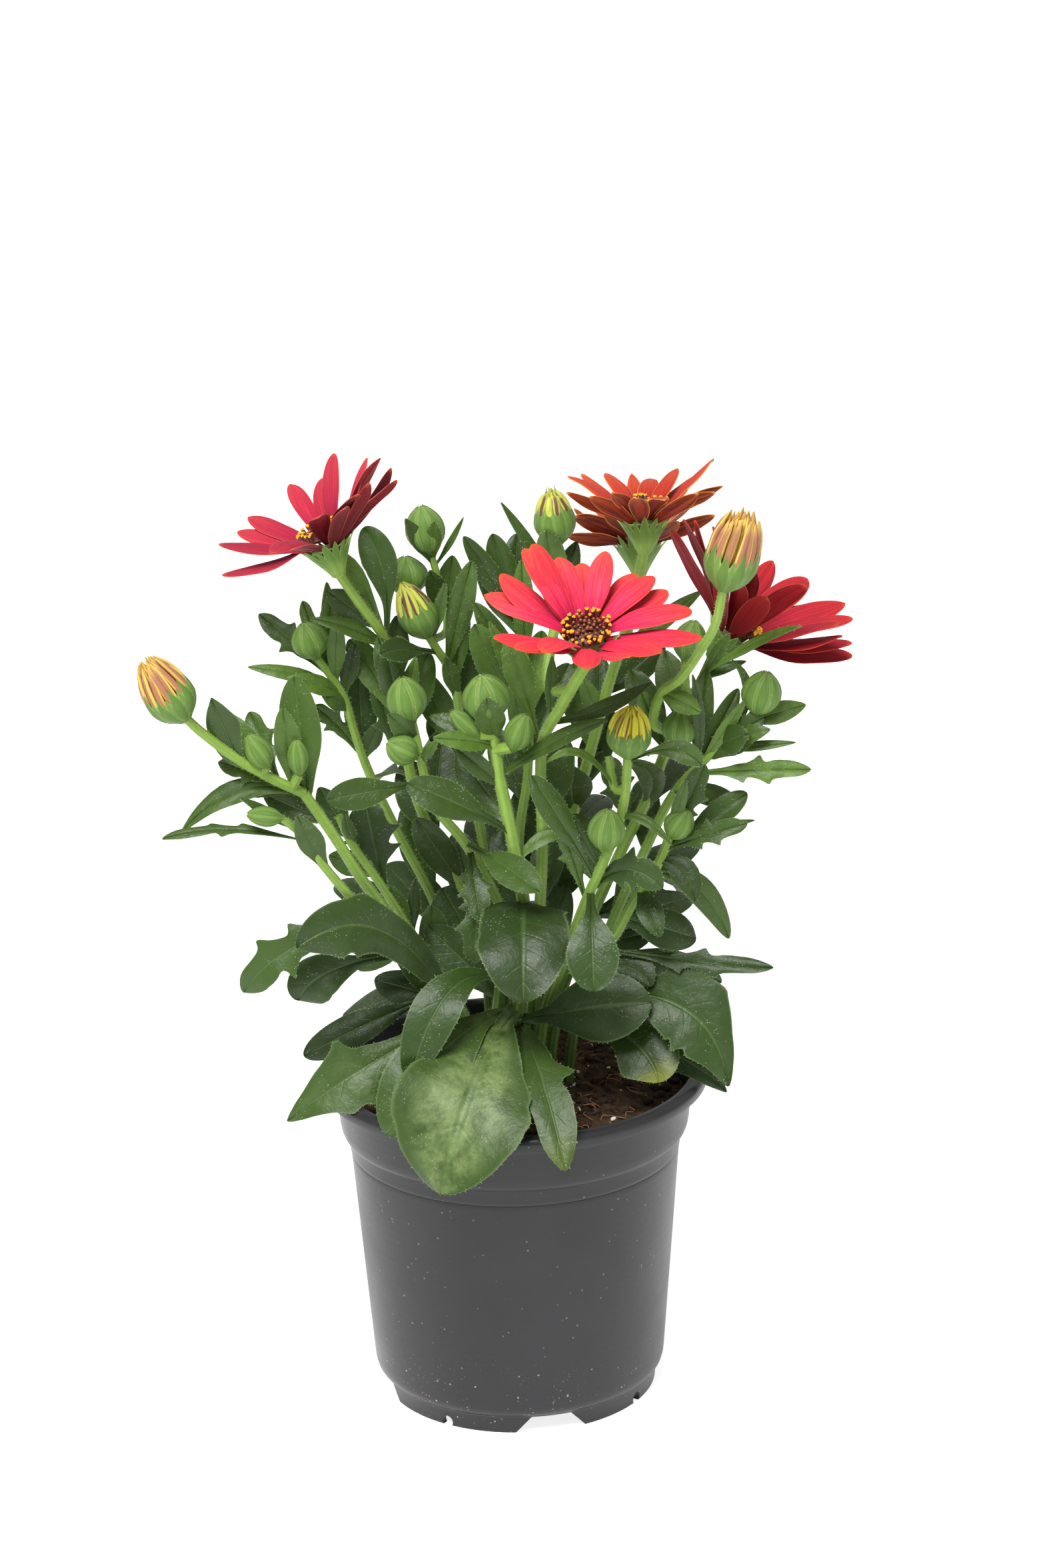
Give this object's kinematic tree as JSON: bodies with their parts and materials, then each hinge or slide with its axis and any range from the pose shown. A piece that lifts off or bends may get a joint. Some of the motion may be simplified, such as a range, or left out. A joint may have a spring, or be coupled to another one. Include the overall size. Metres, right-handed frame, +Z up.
{
  "type": "osteospermum in a nursery pot",
  "caption": "African daisy with leafy stems, red and bronze flower heads and buds, rooted in compost in a tapered black plastic nursery pot with a rolled lip and notched foot.",
  "frame": {"origin": "on the pot's axis, in the plane of the foot ring that it stands on", "axes": "+Z up along the pot's axis, -Y towards the front of the plant, +X to the right as seen from the front"},
  "size_m": [0.1846, 0.1301, 0.26],
  "materials": {
    "pot_plastic": "satin",
    "compost": "matte",
    "foliage": "satin",
    "red_rays": "satin",
    "bronze_rays": "satin",
    "disc_florets": "matte",
    "bud_rays": "satin"
  },
  "bodies": {
    "root": {"pot": "pot_plastic", "soil": "compost", "shoot_centre_front": "foliage", "shoot_centre_left": "foliage", "shoot_bloom_left": "foliage", "shoot_bud_left": "foliage", "shoot_left": "foliage", "shoot_left_low": "foliage", "shoot_left_inner": "foliage", "shoot_bloom_front": "foliage", "shoot_buds_back": "foliage", "shoot_centre_back": "foliage", "shoot_buds_right_front": "foliage", "shoot_right_low": "foliage", "shoot_bloom_right": "foliage", "shoot_blooms_back": "foliage", "shoot_bud_right": "foliage", "bloom_left_rays": "red_rays", "bloom_front_rays": "red_rays", "bloom_right_rays": "red_rays", "bloom_top_rays": "bronze_rays", "bloom_back_rays": "bronze_rays", "bloom_left_disc": "disc_florets", "bloom_front_disc": "disc_florets", "bloom_top_disc": "disc_florets", "bloom_back_disc": "disc_florets", "bloom_right_disc": "disc_florets", "bud_far_left_rays": "bud_rays", "bud_top_rays": "bud_rays", "bud_left_back_rays": "bud_rays", "bud_yellow_rays": "bud_rays", "bud_bronze_rays": "bud_rays"}
  },
  "joints": []
}
